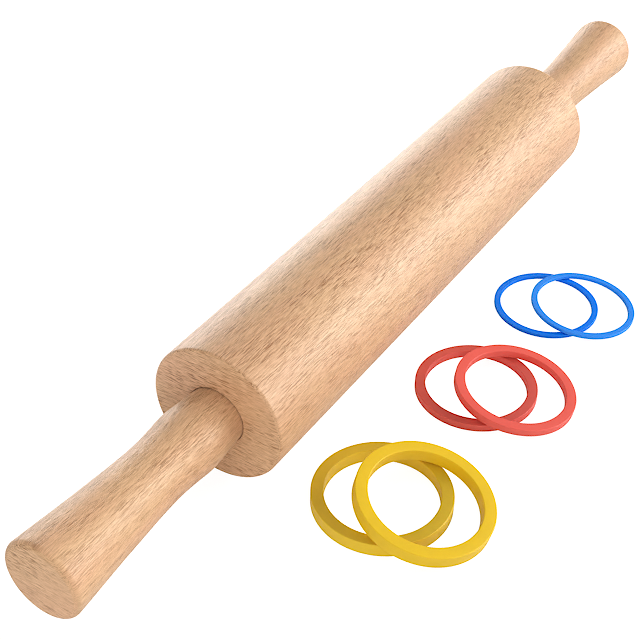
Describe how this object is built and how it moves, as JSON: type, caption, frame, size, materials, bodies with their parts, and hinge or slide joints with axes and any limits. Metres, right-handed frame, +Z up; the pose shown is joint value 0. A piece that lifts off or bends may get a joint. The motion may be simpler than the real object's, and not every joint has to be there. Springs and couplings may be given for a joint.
{
  "type": "adjustable rolling pin",
  "caption": "Wooden rolling pin whose barrel turns on a steel rod between fixed handles, with pairs of silicone rings that set the dough's thickness.",
  "frame": {"origin": "on the table, under the middle of the box that holds the pin and its rings", "axes": "+X along the pin towards its far handle, +Y across the table from the rings towards the pin, +Z up"},
  "size_m": [0.43, 0.1246, 0.0539],
  "materials": {
    "barrel_wood": "fine-sanded light hardwood, oiled",
    "handle_wood": "fine-sanded light hardwood, oiled",
    "steel": "bright drawn steel",
    "brass": "machined brass",
    "nylon": "natural moulded nylon",
    "yellow_silicone": "satin moulded silicone",
    "red_silicone": "satin moulded silicone",
    "blue_silicone": "satin moulded silicone"
  },
  "bodies": {
    "handles": {"handle_near": "handle_wood", "handle_far": "handle_wood", "axle_rod": "steel", "insert_near": "brass", "insert_far": "brass", "washer_near": "steel", "washer_far": "steel"},
    "barrel": {"barrel": "barrel_wood", "bush_near": "nylon", "bush_far": "nylon"},
    "yellow_lower": {"ring_yellow_lower": "yellow_silicone"},
    "yellow_upper": {"ring_yellow_upper": "yellow_silicone"},
    "red_lower": {"ring_red_lower": "red_silicone"},
    "red_upper": {"ring_red_upper": "red_silicone"},
    "blue_lower": {"ring_blue_lower": "blue_silicone"},
    "blue_upper": {"ring_blue_upper": "blue_silicone"}
  },
  "joints": [
    {"name": "barrel_spin", "type": "hinge", "parent": "handles", "child": "barrel", "pos_m": [0, 0.03484, 0.02696], "axis": [1, 0, 0], "continuous": true},
    {"name": "yellow_lower_lift", "type": "slide", "parent": "handles", "child": "yellow_lower", "axis": [0, 0, 1], "range_m": [0, 0.08]},
    {"name": "yellow_upper_lift", "type": "slide", "parent": "yellow_lower", "child": "yellow_upper", "axis": [0, 0, 1], "range_m": [0, 0.06]},
    {"name": "red_lower_lift", "type": "slide", "parent": "handles", "child": "red_lower", "axis": [0, 0, 1], "range_m": [0, 0.08]},
    {"name": "red_upper_lift", "type": "slide", "parent": "red_lower", "child": "red_upper", "axis": [0, 0, 1], "range_m": [0, 0.06]},
    {"name": "blue_lower_lift", "type": "slide", "parent": "handles", "child": "blue_lower", "axis": [0, 0, 1], "range_m": [0, 0.08]},
    {"name": "blue_upper_lift", "type": "slide", "parent": "blue_lower", "child": "blue_upper", "axis": [0, 0, 1], "range_m": [0, 0.06]}
  ]
}
